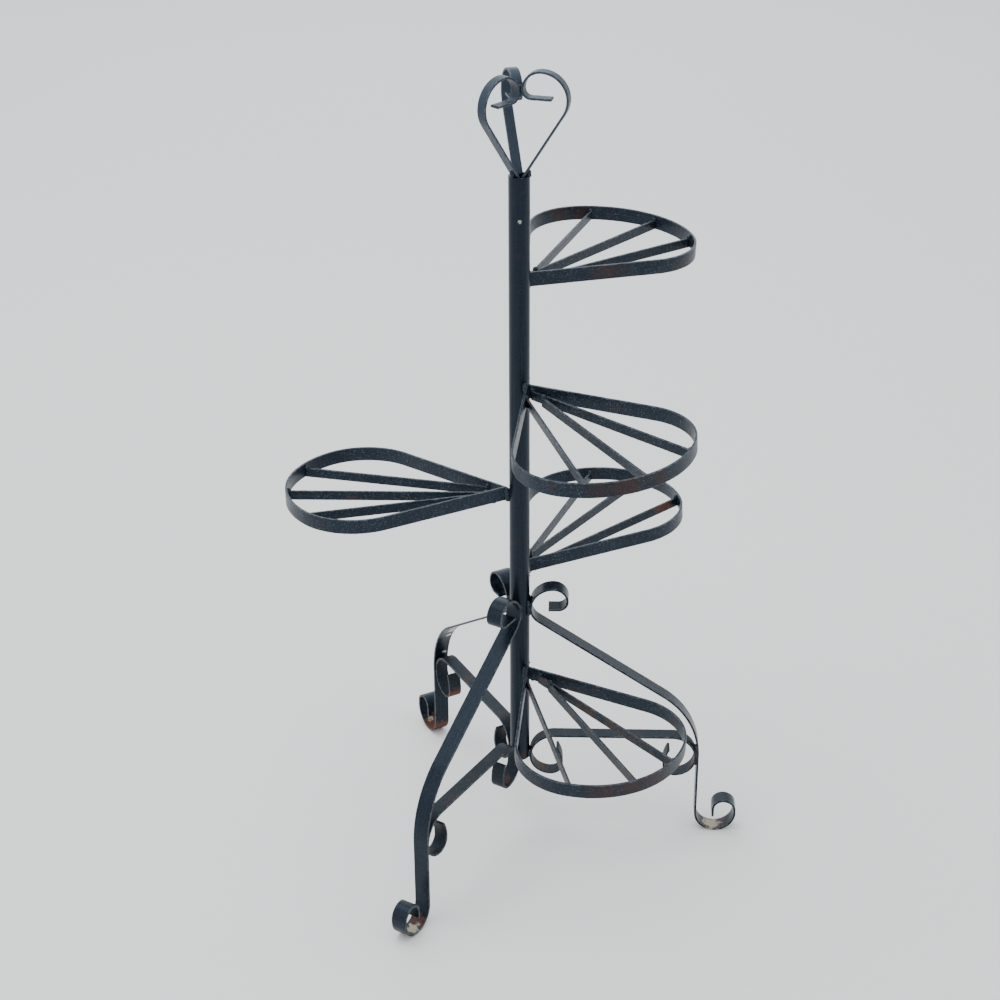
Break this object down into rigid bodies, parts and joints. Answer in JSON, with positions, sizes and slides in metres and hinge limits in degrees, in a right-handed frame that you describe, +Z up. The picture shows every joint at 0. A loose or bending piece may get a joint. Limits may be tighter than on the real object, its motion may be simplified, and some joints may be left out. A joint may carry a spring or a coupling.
{
  "type": "tiered plant stand",
  "caption": "Tiered wrought-iron plant stand: a central tube with spoked teardrop shelves stepping around it, on scrolled legs with C-scroll braces, under a heart finial.",
  "frame": {"origin": "on the tube's axis, at floor level", "axes": "+Z up along the tube; +X to the right in the picture, close to the right leg; +Y away from the viewer"},
  "size_m": [0.6078, 0.5587, 1.0891],
  "materials": {
    "post_paint": "satin black paint, lightly worn",
    "hoop_paint": "satin black paint, lightly worn",
    "spoke_paint": "satin black paint, lightly worn",
    "leg_paint": "satin black paint, lightly worn",
    "brace_paint": "satin black paint, lightly worn",
    "finial_paint": "satin black paint, lightly worn",
    "weld_paint": "satin black paint, lightly worn"
  },
  "bodies": {
    "root": {"brace_back_left": "brace_paint", "brace_front_left": "brace_paint", "brace_leg_welds": "weld_paint", "brace_post_welds": "weld_paint", "brace_right": "brace_paint", "finial_crown_weld": "weld_paint", "finial_rim_welds": "weld_paint", "finial_strap_back": "finial_paint", "finial_strap_front_left": "finial_paint", "finial_strap_right": "finial_paint", "leg_back_left": "leg_paint", "leg_front_left": "leg_paint", "leg_right": "leg_paint", "leg_welds": "weld_paint", "post": "post_paint", "shelf_1_hoop": "hoop_paint", "shelf_1_post_weld": "weld_paint", "shelf_1_spoke_left": "spoke_paint", "shelf_1_spoke_middle": "spoke_paint", "shelf_1_spoke_right": "spoke_paint", "shelf_1_spoke_welds": "weld_paint", "shelf_2_hoop": "hoop_paint", "shelf_2_post_weld": "weld_paint", "shelf_2_spoke_left": "spoke_paint", "shelf_2_spoke_middle": "spoke_paint", "shelf_2_spoke_right": "spoke_paint", "shelf_2_spoke_welds": "weld_paint", "shelf_3_hoop": "hoop_paint", "shelf_3_post_weld": "weld_paint", "shelf_3_spoke_left": "spoke_paint", "shelf_3_spoke_middle": "spoke_paint", "shelf_3_spoke_right": "spoke_paint", "shelf_3_spoke_welds": "weld_paint", "shelf_4_hoop": "hoop_paint", "shelf_4_post_weld": "weld_paint", "shelf_4_spoke_left": "spoke_paint", "shelf_4_spoke_middle": "spoke_paint", "shelf_4_spoke_right": "spoke_paint", "shelf_4_spoke_welds": "weld_paint", "shelf_5_hoop": "hoop_paint", "shelf_5_post_weld": "weld_paint", "shelf_5_spoke_left": "spoke_paint", "shelf_5_spoke_middle": "spoke_paint", "shelf_5_spoke_right": "spoke_paint", "shelf_5_spoke_welds": "weld_paint"}
  },
  "joints": []
}
